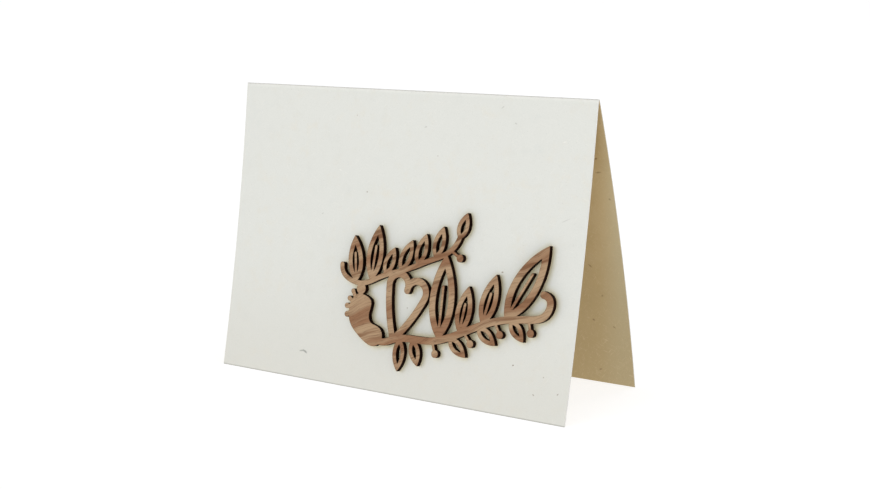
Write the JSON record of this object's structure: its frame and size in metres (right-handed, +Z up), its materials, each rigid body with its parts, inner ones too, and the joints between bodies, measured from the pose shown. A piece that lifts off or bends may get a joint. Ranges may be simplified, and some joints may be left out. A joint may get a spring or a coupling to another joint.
{
  "type": "greeting card",
  "caption": "Folded blank card standing as a tent, with a flat laser-cut wooden ornament of a footprint, heart and leafy stems on its front.",
  "frame": {"origin": "middle of the rectangle that the two feet stand in, on the surface the card stands on", "axes": "+X along the fold, to the right seen from the front; -Y is the side the ornament is on; +Z up"},
  "size_m": [0.148, 0.0486, 0.1024],
  "materials": {
    "card_board": "uncoated natural white board with fine fibres, tan inside",
    "walnut": "unvarnished walnut with scorched laser-cut edges"
  },
  "bodies": {
    "root": {"card": "card_board", "wooden_ornament": "walnut"}
  },
  "joints": []
}
